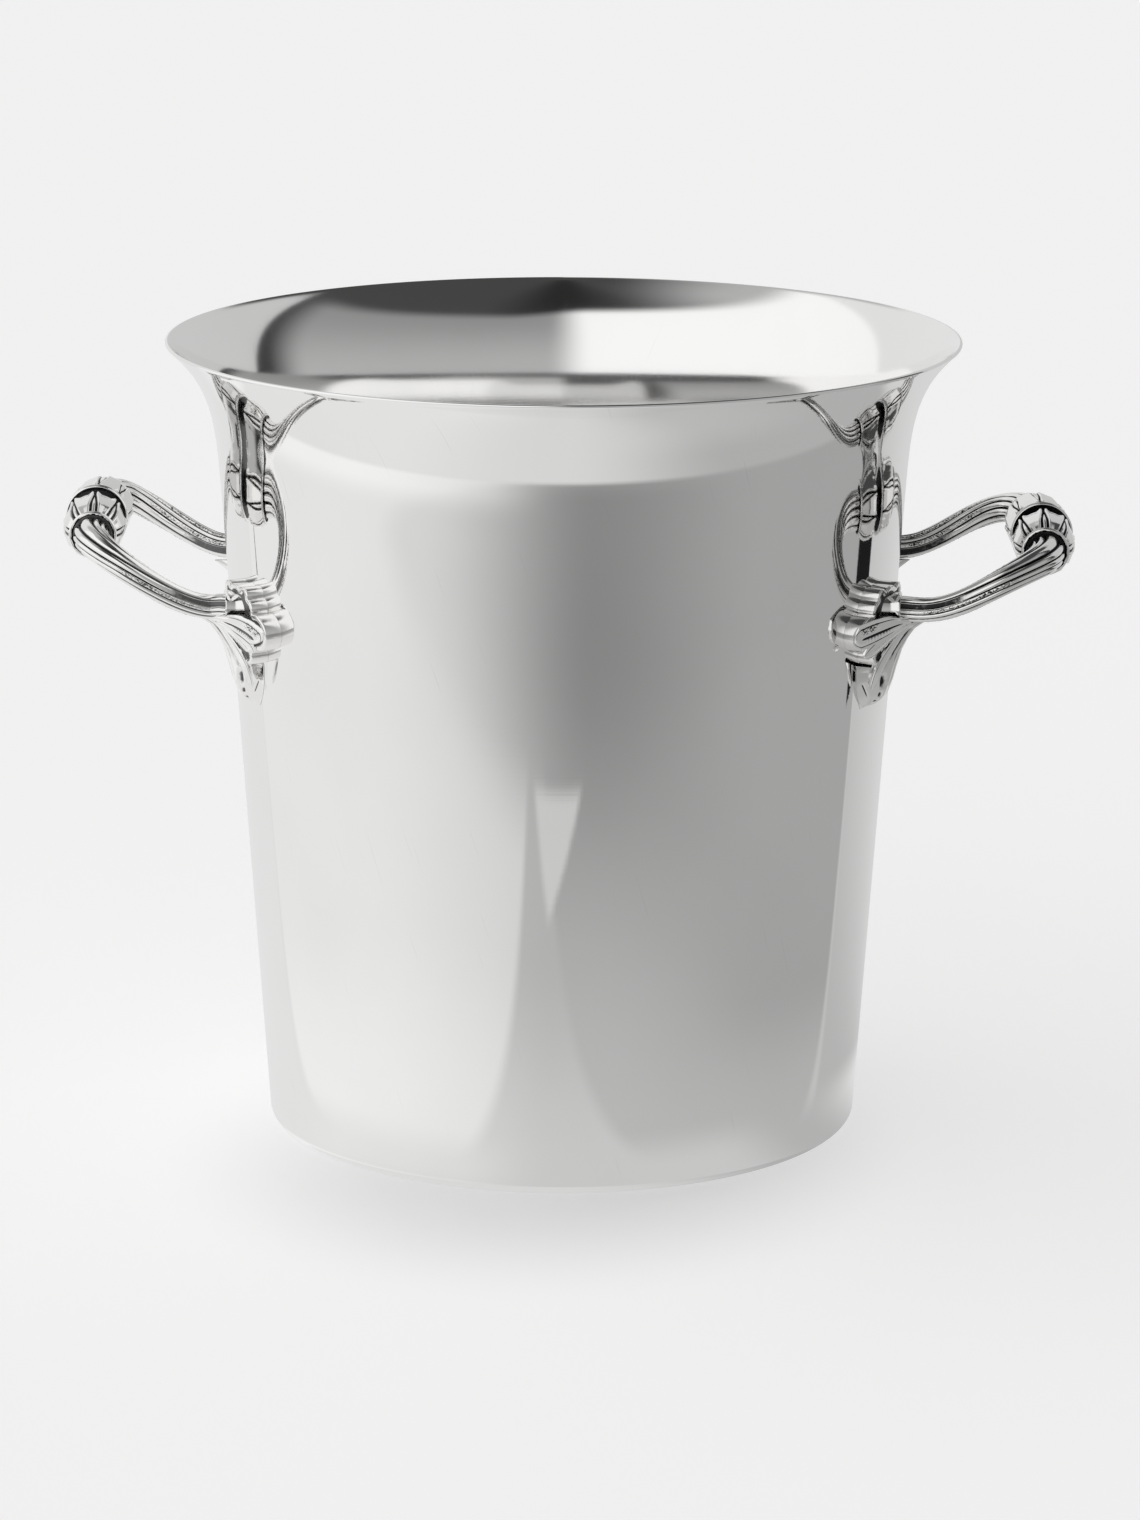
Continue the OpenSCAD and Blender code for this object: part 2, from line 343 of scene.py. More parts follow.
def make_plate(name, place):
    """Scalloped plate with a rounded edge and a sunk field, and the socket at the arm's root."""
    outline, outward = plate_outline(360)
    # Rings as (inset, height off the wall, recess)
    # The ring against the wall carries painted shade where the plate meets the wall
    steps = [(0, 0.02, 0.25), (0, 0.5, 0.1), (0, PLATE_T - PLATE_EDGE_R, 0)]
    steps += [(PLATE_EDGE_R * (1 - math.cos(a)), PLATE_T - PLATE_EDGE_R * (1 - math.sin(a)), 0)
              for a in np.radians([20, 40, 60, 80])]
    field_inset = 1.8
    # Painted shade darkens the sunk field at its edge, fading towards its middle
    steps += [(1.1, PLATE_T, 0), (1.5, PLATE_T - 0.35, 0.7), (field_inset, PLATE_T - FIELD_SINK, 0.9)]
    rings, recess = [], []
    for inset, u, dark in steps:
        at = outline - outward * inset
        rings.append(off_plate(at[:, 0], at[:, 1], np.full(len(at), u)))
        recess.append(np.full(len(at), dark))
    rim = outline - outward * field_inset
    for share in (0.8, 0.6, 0.4, 0.2, 0.02):
        at = np.array(PLATE_CENTRE) + (rim - np.array(PLATE_CENTRE)) * share
        rings.append(off_plate(at[:, 0], at[:, 1], np.full(len(at), PLATE_T - FIELD_SINK * share)))
        recess.append(np.full(len(at), 0.9 * share))
    shape = Shape().loft(np.array(rings), np.array(recess))
    root = ARMS["right"][0]
    socket = [(0.02, 0.5), (SOCKET_R - 0.2, 0.5), (SOCKET_R - 0.1, 2.0), (SOCKET_R - 0.45, 3.6),
              (SOCKET_R - 0.5, 4.6), (SOCKET_R - 0.3, 5.6), (SOCKET_R, 6.4), (SOCKET_R - 0.05, 6.85),
              (SOCKET_R - 0.3, 7.0), (SOCKET_R - 0.55, 6.8), (3.5, 6.0), (0.02, 5.9)]
    # Painted shade in the socket's mouth, where the arm goes in
    dark = np.array([0, 0, 0, 0.1, 0.1, 0, 0, 0, 0, 0.6, 1, 1])[:, None]
    turned = lathe_rings(socket, 72)
    rings = np.stack([turned[..., 2] + SOCKET_X, turned[..., 0] - root[1], turned[..., 1] + root[2]], -1)
    shape.loft(rings, dark)
    return shape.piece(name, place)


# ---------------------------------------------------------------- leaves
def speckle(points, size):
    """Repeatable fine roughness, from 0 to 1, for stippled fields."""
    cell = np.floor(points / size)
    value = np.sin(cell @ np.array([12.9898, 78.233, 37.719])) * 43758.5453
    return value - np.floor(value)


def blade_relief(q, t, rim, vein, stipple):
    """Relief on a blade's face, and how dark it is, by place across (-1 to 1) and along it (0 to 1)."""
    edge = rim * bell(np.abs(q), 0.86, 0.1)
    groove = vein * bell(q, -0.12, 0.1) * ease(t, 0.1, 0.3) * ease(1 - t, 0.06, 0.2)
    beads = 0.5 + 0.5 * np.sin(t * 120)
    bead_row = 0.6 * vein * bell(q, -0.32, 0.1) * ease(t, 0.3, 0.45) * ease(1 - t, 0.1, 0.25)
    field = bell(q, 0.4, 0.3) * ease(t, 0.5, 0.7) * ease(1 - t, 0.07, 0.16)
    grain = speckle(np.stack([q * 16 + 0 * t, t * 70 + 0 * q, 0 * q * t], -1), 1.0)
    relief = edge - groove + bead_row * (beads - 0.6) - stipple * field * grain
    recess = (2.2 * groove + 1.6 * bead_row * (1 - beads) + stipple * 2.4 * field * grain
              + 0.8 * bell(np.abs(q), 0.68, 0.06) * (rim > 0) * ease(t, 0.15, 0.4)
              + 0.4 * ease(np.abs(q), 0.95, 1.0))
    return relief, recess


def blade(shape, controls, widths, hint, depth=0.6, rim=0.3, vein=0.0, stipple=0.0):
    """Adds one blade along a Bezier curve: a long oval with a raised rim, a vein and a stippled field.

    Controls are (across, z, off the wall), widths are half-widths at even steps along the blade, and
    hint is the way it faces.
    """
    rows, across, under = 110, 61, 15
    t = np.linspace(0, 1, rows)
    spine = bezier(controls, t)
    along = unit(np.gradient(spine, axis=0))
    face = unit(np.asarray(hint, float) - (along @ np.asarray(hint, float))[:, None] * along)
    side = np.cross(face, along)
    side = side * np.sign(side[rows // 2, 1])
    half = smooth_curve(t, np.linspace(0, 1, len(widths)), widths)
    half = half * np.sqrt(np.clip((1 - t) / 0.11, 0, 1)) ** 0.9 + 0.03
    q = np.linspace(-1, 1, across)[None, :]
    crown = 0.4 * np.minimum(half, 1.8)[:, None] * (1 - q * q)
    relief, recess = blade_relief(q, t[:, None], rim, vein, stipple)
    taper = np.minimum(1, half / 0.7)[:, None]
    back = np.linspace(1, -1, under)[None, :]
    q_all = np.concatenate([q, 0.94 * back], 1)
    lift = np.concatenate([(crown + relief) * taper, -depth * taper + 0 * back], 1)
    local = spine[:, None, :] + side[:, None, :] * (half[:, None] * q_all)[..., None] \
        + face[:, None, :] * lift[..., None]
    world = off_plate(local[..., 0], local[..., 1], np.maximum(local[..., 2], 0.05))
    dark = np.concatenate([np.clip(recess * taper, 0, 1), np.zeros((rows, under))], 1)
    shape.loft(world, dark)


def tail_marks(q, z):
    """The tail's slots, pits, nick, ridges, vein and fine lines, each from 0 to about 1."""
    slot = bell(q, REAR_SLOT, 0.05) * ease(z, 125.5, 130)
    slot = slot + bell(q, FRONT_SLOT, 0.07) * ease(z, 130.5, 133)
    slot = slot + bell(q, FAR_SLOT, 0.05) * ease(z, 129, 133)
    pits = bell(z, 128.2, 1.7) + 0.9 * bell(z, 124.4, 0.7)
    pits = np.clip(pits + 0.8 * bell(z, 122.4, 0.4), 0, 1)
    eye = bell(q, PIT_ROW + 0.012 * (z - 126), 0.055) * pits
    nick = bell(q, 0.76 + 0.035 * (z - 126), 0.02) * ease(z, 123.5, 125) * ease(-z, -128.4, -127)
    ridge = bell(q, MAIN_RIDGE, 0.12) + 0.8 * bell(q, 0.66, 0.1) + bell(q, -0.3, 0.12)
    vein = bell(q, MAIN_RIDGE, 0.02) * ease(z, 131, 135) * ease(-z, -142, -139)
    fine = (bell(q, 0.62, 0.014) + bell(q, 0.30, 0.012)) * ease(z, 132, 137)
    return slot, eye, nick, ridge, vein, fine


def leaf_tail(shape, shift, rise):
    """The leaf's ribbed body: it fans out below the arm, and its skirts run out thin on the wall."""
    rows, across, under = 200, 241, 25
    z = np.linspace(TAIL_FOOT_Z, TAIL_TOP_Z, rows)[:, None]
    q = np.sin(np.linspace(-math.pi / 2, math.pi / 2, across))[None, :]
    crest = np.interp(z, *TAIL_CREST) + rise * ease(z, 121, 125)
    half = smooth_curve(z, *TAIL_HALF)
    seat = np.where(z < PLATE_FOOT_Z, 0.0, PLATE_T - 0.6)
    section = np.maximum(1 - q * q, 0) ** np.interp(z, [131, 138], [1.35, 0.8])
    slot, eye, nick, ridge, vein, fine = tail_marks(q, z)
    deep = ease(-z, -143, -140.5)
    tip_z = 120.6 + 1.6 * bell(q, PIT_ROW, 0.09) + 3.2 * np.abs(q) ** 6
    end = np.clip((z - tip_z) / 1.6, 0, 1)
    cut = slot * (1.5 * deep + 0.1) + 1.3 * eye + 0.35 * nick + 0.3 * vein + 0.2 * fine
    front = (crest - 0.5) * section + 0.55 * ridge * section - cut * np.minimum(1, crest / 5)
    front = np.maximum(front * np.sqrt(end * (2 - end)), seat + 0.1)
    recess = np.clip(1.2 * slot * deep + 1.2 * eye + 0.9 * nick + 0.8 * vein + 0.7 * fine, 0, 1)
    back = np.linspace(1, -1, under)[None, :]
    w = np.concatenate([half * q, half * back], 1) + shift
    u = np.concatenate([front, np.broadcast_to(seat * 0.98 + 0.03, (rows, under))], 1)
    dark = np.concatenate([recess, np.zeros((rows, under))], 1)
    shape.loft(off_plate(w, z + 0 * w, u), dark)


def make_leaf(name, side, place):
    """Acanthus leaf under the arm: a ribbed tail, blades on both sides, and a rib down the tail."""
    reach, drop, sink, shift, rise = LEAF_SIDES[side]
    shape = Shape()
    leaf_tail(shape, shift, rise)
    # Towards the knop: a broad blade, a narrow one under it, and the rib down the tail
    blade(shape, [(0.8, 144.6, 11.5), (6.5, 144.9, 8.2), (11.5, 143.2, 6.7), (reach, drop, sink)],
          [0.6, 1.6, 2.9, 3.5, 3.7, 3.5], (0.35, -0.15, 1.0), vein=0.6, stipple=0.5)
    blade(shape, [(0.7, 143.9, 11.0), (4.5, 142.2, 8.0), (8.5, 140.0, 6.6), (reach - 3.6, 136.9, 5.3)],
          [0.5, 1.0, 1.5, 1.9, 2.0, 1.5], (0.35, -0.2, 1.0), rim=0.16, vein=0.22)
    rib = [(0.6, 143.2, 10.4), (2.6, 140, 8.2), (5.4, 135, 6.2), (5.6, 130.5, 4.6), (4.6, 126.0, 3.4)]
    rib = [(w + shift * 0.4 * k / 4, z, u) for k, (w, z, u) in enumerate(rib)]
    blade(shape, rib, [0.5, 0.8, 1.1, 1.3, 1.3, 1.1, 0.7], (0.5, -0.1, 1.0), rim=0.12, vein=0.12)
    # On the far side: a broad blade and a narrow one
    blade(shape, [(-0.8, 144.6, 11.0), (-5.0, 144.6, 7.0), (-8.5, 142.8, 5.9), (-11.5, 140.6, 5.3)],
          [0.6, 1.4, 2.3, 2.8, 2.8, 2.2], (-0.2, -0.15, 1.0), vein=0.4, stipple=0.3)
    blade(shape, [(-0.7, 143.6, 10.4), (-3.6, 141.0, 7.0), (-5.6, 138.2, 6.0), (-7.0, 135.2, 5.3)],
          [0.5, 0.9, 1.3, 1.5, 1.4, 1.0], (-0.2, -0.2, 1.0), rim=0.12, vein=0.2)
    return shape.piece(name, place)


# ---------------------------------------------------------------- arms
def reed_relief(turn, t):
    """Height of the reeds (1 on a crest), stippling and darkness, round the arm and along it."""
    width_shift = 0.13 * np.sin(2 * turn + 0.9) + 0.07 * np.sin(3 * turn)
    phase = (turn + width_shift) * REEDS / (2 * math.pi) + 0.45
    x = 2 * (phase - np.floor(phase)) - 1
    reed = np.floor(phase).astype(int) % REEDS
    fluted = np.isin(reed, FLUTED_REEDS) * ease(1 - t, 0.42, 0.7)
    round_top = np.sqrt(np.maximum(0, 1 - np.abs(x) ** 2.1))
    hollow = 0.25 + 0.4 * x * x * (1 - x ** 8)
    bulge = round_top * (1 - fluted) + hollow * fluted
    stretch = ease(t, 0.05, 0.2) * ease(1 - t, 0.25, 0.4)
    grain = speckle(np.stack([turn * 14 + 0 * t, t * 190 + 0 * turn, 0 * t * turn], -1), 1.0)
    stippled = np.isin(reed, STIPPLED_REEDS) * (np.abs(x) < 0.6) * stretch * grain
    # Painted shade in the grooves between the reeds, and a painted dark reflection along the hollow reeds
    dark = np.clip((np.abs(x) - 0.62) / 0.24, 0, 1) * (1 - fluted)
    dark = dark + 0.85 * stippled + 0.75 * fluted * (np.abs(x) < 0.86)
    return bulge, stippled, dark


def make_arm(name, side, place):
    """Reeded S-curved rod, rounded off and painted dark as shade where it ends in the knop's collar."""
    rows, per_reed = 260, 14
    t = np.linspace(0, 1, rows)
    spine = bezier([(x, -y, z) for x, y, z in ARMS[side]], t)
    along = unit(np.gradient(spine, axis=0))
    along[0] = (1, 0, 0)
    across = unit(np.cross(along, (0, 0, 1)))
    over = np.cross(across, along)
    turn = np.linspace(0, 2 * math.pi, REEDS * per_reed, endpoint=False)
    bulge, stippled, dark = reed_relief(turn[None, :], t[:, None])
    to_end = (1 - t) * ARM_LENGTH
    tip = 1 - 0.17 * (1 - np.sqrt(np.clip(to_end / 1.6, 0, 1)))
    radius = smooth_curve(t, *ARM_RADII) * tip
    depth = REED_DEPTH * (1 + 0.35 * ease(t, 0.85, 1.0))
    r = radius[:, None] * (1 - depth[:, None] * (1 - bulge)) - 0.14 * stippled
    rings = spine[:, None, :] + r[..., None] * (np.cos(turn)[None, :, None] * across[:, None, :]
                                                + np.sin(turn)[None, :, None] * over[:, None, :])
    # Painted shade over the last 1.6 mm, inside the collar
    recess = dark + ease(-to_end, -1.6, 0)[:, None]
    return Shape().loft(rings, np.clip(recess, 0, 1)).piece(name, place)


# ---------------------------------------------------------------- knops
def knop_axes(side):
    """Centre of a knop and its axes: along the front half, up, and across."""
    centre = knop_centre(side)
    x, y, z = ARMS[side][-1]
    along = unit(np.array([x, -y, z]) - centre)
    up = unit(np.array([0, 0, 1]) - along[2] * along)
    return centre, along, up, np.cross(along, up)


def on_knop(side, rings):
    """Moves rings drawn about +Z onto the front half of a knop, with their X pointing up."""
    centre, along, up, across = knop_axes(side)
    return centre + rings[..., 0:1] * up + rings[..., 1:2] * across + rings[..., 2:3] * along


def make_collar(name, side, place):
    """Thin ring with two bright beads, sunk where the arm's reeds end."""
    s = KNOP_HALF
    profile = [(0.02, HUSK_BASE_S + 0.05), (COLLAR_R - 0.9, HUSK_BASE_S + 0.05)]
    profile += arc((COLLAR_R - 0.45, s - 0.65), 0.42, -100, 60, 9)
    profile += arc((COLLAR_R - 0.42, s + 0.25), 0.42, -50, 130, 11)
    profile += [(COLLAR_R - 0.95, s + 0.3), (COLLAR_R - 1.1, s - 0.3), (0.02, s - 0.35)]
    profile = np.array(profile)
    dark = np.zeros(len(profile))
    # Painted shade between the two beads, and inside them
    dark[9:12] = (0.7, 0.9, 0.7)
    dark[-4:] = (0.4, 1, 1, 1)
    return Shape().loft(on_knop(side, lathe_rings(profile, 128)), dark[:, None]).piece(name, place)


def husk_surface(s, phase, lip_s):
    """Radius and recess of a husk at distance s. Phase is 0 at a dart and 0.5 in the middle of a petal."""
    base = smooth_curve(s, [2, 10.8, 13.5, 17, 20, HUSK_BASE_S], [8.15, 8.2, 8.15, 7.9, 7.25, 5.95])
    off = np.abs(phase) * 2 * math.pi * base / PETALS
    dart = 0.1 + 0.72 * ease(s, lip_s + 0.5, lip_s + 11)
    groove = bell(off, dart, 0.2 + 0.1 * ease(s, 12, 20))
    tongue = ease(-off, -dart, -0.4 * dart)
    lip = ease(-s, -lip_s - 5.5, -lip_s)
    border = bell(off, dart + 0.62, 0.32)
    hollow = ease(off, dart + 0.6, dart + 2.0) * (0.12 + 0.34 * lip)
    r = base - 1.0 * groove - 0.3 * tongue + (0.06 + 0.16 * lip) * border - hollow
    recess = np.clip(1.5 * groove + 0.3 * hollow, 0, 1)
    return np.minimum(r, 8.36), recess


def make_husk(name, side, half, place):
    """Petalled husk, open towards the knop's middle. Its petals are hollow panels that end in points."""
    sides = PETALS * 56
    lip_s = HUSK_LIP_S[half]
    turn = np.linspace(0, 2 * math.pi, sides, endpoint=False)
    phase = (turn - 0.02) * PETALS / (2 * math.pi)
    phase = phase - np.round(phase)
    dip = 1.5 * bell(phase, 0, 0.05) + 0.5 * ease(np.abs(phase), 0.1, 0.4)
    rings, dark = [], []
    for s in HUSK_BASE_S - (HUSK_BASE_S - lip_s) * np.linspace(0, 1, 80) ** 0.9:
        r, recess = husk_surface(s, phase, lip_s)
        along = s + dip * ease(-s, -lip_s - 4.5, -lip_s)
        rings.append(np.stack([r * np.cos(turn), r * np.sin(turn), along], -1))
        dark.append(recess)
    lip_r = husk_surface(lip_s, phase, lip_s)[0]
    # Painted shade on the lip's inner ring and all over the floor inside the husk
    for drop, shift, shade in ((0.12, -0.12, 0.0), (0.35, -0.16, 0.0), (0.6, 0.0, 0.5)):
        r = lip_r - drop
        rings.append(np.stack([r * np.cos(turn), r * np.sin(turn), lip_s + dip + shift], -1))
        dark.append(np.full(sides, shade))
    for r, s in ((6.2, 10.9), (5.1, 12.4), (3.6, HUSK_FLOOR_S), (0.02, HUSK_FLOOR_S)):
        rings.append(np.stack([r * np.cos(turn), r * np.sin(turn), np.full(sides, s)], -1))
        dark.append(np.ones(sides))
    return Shape().loft(on_knop(side, np.array(rings)), np.array(dark)).piece(name, place)


def across_knop(side, profile, sides):
    """Rings of a shape turned about the knop's own axis, in the middle of the knop."""
    turned = lathe_rings(profile, sides)
    return knop_centre(side) + np.stack([turned[..., 0], turned[..., 2], turned[..., 1]], -1)


def both_faces(profile):
    """A turned profile of one half, completed with its mirror image below."""
    return [(r, z) for r, z in profile] + [(r, -z) for r, z in profile[::-1]]


def make_disc(name, side, place):
    """Double-edged disc in the middle of the knop."""
    half = [(SPINDLE_R + 0.6, 0.6), (DISC_R - 2.0, 0.55), (DISC_R - 1.35, 0.6)]
    half += arc((DISC_R - 0.55, 0.62), 0.42, 170, -20, 12) + [(DISC_R - 0.32, 0.15)]
    profile = both_faces(half)
    dark = np.zeros(len(profile))
    # Painted shade at the root, inside the two edges, and in the groove between them
    dark[[0, 1, -1, -2]] = 1.0
    dark[[2, -3]] = 0.8
    dark[[len(half) - 1, len(half)]] = 0.9
    rings = across_knop(side, profile, 160)
    return Shape().loft(rings, dark[:, None], closed=True).piece(name, place)


def make_spindle(name, side, place):
    """Turned core that carries the disc and the husks, painted dark all over as the shade in the gap
    between them.
    """
    end = HUSK_FLOOR_S - 0.2
    half = [(0.02, end), (SPINDLE_R - 0.3, end), (SPINDLE_R, end - 0.3), (SPINDLE_R, 6.2)]
    half += [(SPINDLE_R + 0.5 * (1 + math.sin(a)), 4 - 2 * math.sin(a)) for a in np.linspace(-1.5, 1.5, 9)]
    rings = across_knop(side, both_faces(half), 96)
    return Shape().loft(rings, 0.8).piece(name, place)


# ---------------------------------------------------------------- shader helpers
class Graph:
    """Short ways to build a node tree."""

    def __init__(self, tree):
        self.tree = tree
        tree.nodes.clear()

    def node(self, kind, **settings):
        made = self.tree.nodes.new(kind)
        for key, value in settings.items():
            setattr(made, key, value)
        return made

    def link(self, socket, value):
        if isinstance(value, bpy.types.NodeSocket):
            self.tree.links.new(value, socket)
        else:
            socket.default_value = value

    def math(self, operation, a, b=0.0, clamp=False):
        made = self.node("ShaderNodeMath", operation=operation, use_clamp=clamp)
        self.link(made.inputs[0], a)
        self.link(made.inputs[1], b)
        return made.outputs[0]

    def times(self, a, b):
        return self.math("MULTIPLY", a, b)

    def plus(self, a, b):
        return self.math("ADD", a, b)

    def minus(self, a, b):
        return self.math("SUBTRACT", a, b)

    def distance(self, x, y):
        """How far a place is from the middle."""
        return self.math("SQRT", self.plus(self.times(x, x), self.times(y, y)))

    def heading(self, x, y):
        """Direction of a place from the middle, in degrees from the viewer's side towards +X."""
        return self.times(self.math("ARCTAN2", x, self.times(y, -1.0)), DEGREES)

    def ramp(self, value, low, high, out_low=0.0, out_high=1.0):
        """Smooth step of value from low to high."""
        made = self.node("ShaderNodeMapRange", interpolation_type="SMOOTHSTEP")
        for socket, item in zip(made.inputs, (value, low, high, out_low, out_high)):
            self.link(socket, item)
        return made.outputs[0]

    def mix(self, share, a, b):
        made = self.node("ShaderNodeMix", data_type="FLOAT")
        self.link(made.inputs[0], share)
        self.link(made.inputs[2], a)
        self.link(made.inputs[3], b)
        return made.outputs[0]

    def combine(self, x, y, z):
        made = self.node("ShaderNodeCombineXYZ")
        for socket, item in zip(made.inputs, (x, y, z)):
            self.link(socket, item)
        return made.outputs[0]

    def split(self, vector):
        made = self.node("ShaderNodeSeparateXYZ")
        self.link(made.inputs[0], vector)
        return made.outputs

    def noise(self, vector, scale, detail=2.0, rough=0.5):
        made = self.node("ShaderNodeTexNoise")
        self.link(made.inputs["Vector"], vector)
        made.inputs["Scale"].default_value = scale
        made.inputs["Detail"].default_value = detail
        made.inputs["Roughness"].default_value = rough
        return made.outputs[0]

    def stretched(self, x, y, x_scale, y_scale):
        """Two coordinates scaled apart, for a noise that is drawn out one way."""
        return self.combine(self.times(x, x_scale), self.times(y, y_scale), 0)

    def grey(self, value):
        return self.combine(value, value, value)


def new_material(name):
    material = bpy.data.materials.new(name)
    material.use_nodes = True
    graph = Graph(material.node_tree)
    shader = graph.node("ShaderNodeBsdfPrincipled")
    output = graph.node("ShaderNodeOutputMaterial")
    graph.link(output.inputs["Surface"], shader.outputs[0])
    shader.inputs["Metallic"].default_value = 1.0
    return material, graph, shader


def wrap_coordinates(graph):
    """Place on a turned body in metres: round it, and up it."""
    place = graph.node("ShaderNodeTexCoord").outputs["Object"]
    x, y, z = graph.split(place)
    mean_radius = 0.09
    return place, graph.times(graph.math("ARCTAN2", y, x), mean_radius), z


def spun_silver():
    """Polished sheet silver with wiping scratches, faint spinning lines and cloudy wear, softer inside."""
    material, graph, shader = new_material("spun_silver")
    place, around, up = wrap_coordinates(graph)
    cloud = graph.noise(place, 14, 3, 0.55)
    rings = graph.noise(graph.stretched(around, up, 3, 900), 1.0, 3, 0.6)
    wipes = graph.noise(graph.stretched(around, up, 1600, 45), 1.0, 3, 0.6)
    slant = graph.plus(around, graph.times(up, 0.35))
    slant_up = graph.minus(up, graph.times(around, 0.35))
    marks = graph.noise(graph.stretched(slant, slant_up, 1300, 28), 1.0, 2, 0.5)
    mark = graph.ramp(marks, 0.70, 0.76)
    tone = graph.mix(graph.ramp(cloud, 0.35, 0.7), 0.955, 0.925)
    tone = graph.minus(tone, graph.times(mark, 0.05))
    tint = graph.combine(tone, graph.times(tone, 0.997), graph.times(tone, 0.99))
    graph.link(shader.inputs["Base Color"], tint)
    rough = graph.mix(graph.ramp(cloud, 0.3, 0.75), 0.022, 0.042)
    inside = graph.node("ShaderNodeAttribute", attribute_name="recess").outputs["Fac"]
    rough = graph.plus(rough, graph.times(inside, 0.07))
    rough = graph.plus(rough, graph.times(graph.ramp(wipes, 0.5, 0.8), 0.02))
    graph.link(shader.inputs["Roughness"], graph.plus(rough, graph.times(mark, 0.08)))
    height = graph.plus(graph.times(rings, 0.5), graph.times(wipes, 0.5))
    bump = graph.node("ShaderNodeBump")
    bump.inputs["Strength"].default_value = 0.02
    bump.inputs["Distance"].default_value = 0.0002
    graph.link(bump.inputs["Height"], height)
    graph.link(shader.inputs["Normal"], bump.outputs[0])
    return material


def cast_silver(name="cast_silver", polished=0.88, shade_and_tarnish_tone=0.03):
    """Cast silver: bright relief with random worn patches, near-black where the recess value is high:
    painted shade in the gaps and grooves, with tarnish in the hollows.
    """
    material, graph, shader = new_material(name)
    place = graph.node("ShaderNodeTexCoord").outputs["Object"]
    recess = graph.node("ShaderNodeAttribute", attribute_name="recess").outputs["Fac"]
    grain = graph.noise(place, 1500, 3, 0.6)
    patch = graph.noise(place, 260, 3, 0.6)
    # Darkness here is the recess value, which is painted shade with tarnish, plus random wear
    shade_and_wear = graph.plus(recess, graph.times(graph.minus(patch, 0.5), 0.55))
    shade_and_wear = graph.plus(shade_and_wear, graph.times(graph.minus(grain, 0.5), 0.3))
    dark = graph.ramp(shade_and_wear, 0.32, 0.72)
    tone = graph.mix(dark, polished, shade_and_tarnish_tone)
    tint = graph.combine(tone, graph.times(tone, 0.995), graph.times(tone, 0.985))
    graph.link(shader.inputs["Base Color"], tint)
    rough = graph.mix(dark, graph.mix(graph.ramp(patch, 0.3, 0.7), 0.06, 0.13), 0.4)
    graph.link(shader.inputs["Roughness"], rough)
    bump = graph.node("ShaderNodeBump")
    bump.inputs["Strength"].default_value = 0.05
    bump.inputs["Distance"].default_value = 0.0003
    graph.link(bump.inputs["Height"], graph.plus(grain, patch))
    graph.link(shader.inputs["Normal"], bump.outputs[0])
    return material


# ---------------------------------------------------------------- studio
def panels(graph, azimuth, elevation):
    """Brightness of the studio by direction, in degrees round from the viewer's side and up from level.

    A bright panel stands on the left, a grey one on the right, and the roof is dark.
    """
    left = graph.ramp(azimuth, -130, -126)
    right = graph.ramp(azimuth, -10, 6)
    behind_right = graph.ramp(azimuth, 123, 124.5)
    shade = graph.ramp(graph.minus(azimuth, graph.times(elevation, 0.2)), 94, 116)
    tone = graph.mix(left, 0.78, 0.97)
    grey_panel = graph.ramp(elevation, 4, 50, 0.45, 0.28)
    tone = graph.mix(right, tone, graph.mix(shade, grey_panel, 0.045))
    tone = graph.mix(behind_right, tone, 0.58)
    middle = graph.minus(1.0, graph.ramp(graph.math("ABSOLUTE", azimuth), 4, 40))
    roof_left = graph.times(graph.ramp(azimuth, -25, -95), graph.ramp(elevation, 84, 62))
    roof = graph.mix(middle, graph.mix(roof_left, 0.06, 0.45), 0.022)
    top = graph.mix(graph.ramp(azimuth, -12, 25), 56, 50)
    top = graph.mix(graph.ramp(graph.math("ABSOLUTE", azimuth), 126, 150), top, 34)
    return graph.mix(graph.ramp(graph.minus(elevation, top), -4, 4), tone, roof)


def make_world():
    world = bpy.data.worlds.new("studio")
    bpy.context.scene.world = world
    world.use_nodes = True
    graph = Graph(world.node_tree)
    x, y, z = graph.split(graph.node("ShaderNodeTexCoord").outputs["Generated"])
    elevation = graph.times(graph.math("ARCSINE", z), DEGREES)
    background = graph.node("ShaderNodeBackground")
    graph.link(background.inputs["Color"], graph.grey(panels(graph, graph.heading(x, y), elevation)))
    output = graph.node("ShaderNodeOutputWorld")
    graph.link(output.inputs["Surface"], background.outputs[0])


def flat_board(name, corners):
    """A flat four-cornered board, in metres."""
    mesh = bpy.data.meshes.new(name)
    mesh.from_pydata([Vector(c) for c in corners], [], [(0, 1, 2, 3)])
    board = bpy.data.objects.new(name, mesh)
    bpy.context.scene.collection.objects.link(board)
    return board


def only_reflected(board):
    """The board is seen only in reflections."""
    board.visible_camera = False
    board.visible_diffuse = False
    board.visible_shadow = False
    board.visible_transmission = False
    board.visible_volume_scatter = False


def half_plane(graph, x, y, point, normal, soft):
    """1 on the side of a line that normal points to, in millimetres."""
    size = math.hypot(*normal)
    nx, ny = normal[0] / size, normal[1] / size
    along = graph.plus(graph.times(x, nx), graph.times(y, ny))
    edge = point[0] * nx + point[1] * ny
    return graph.ramp(along, edge - soft / 2, edge + soft / 2)


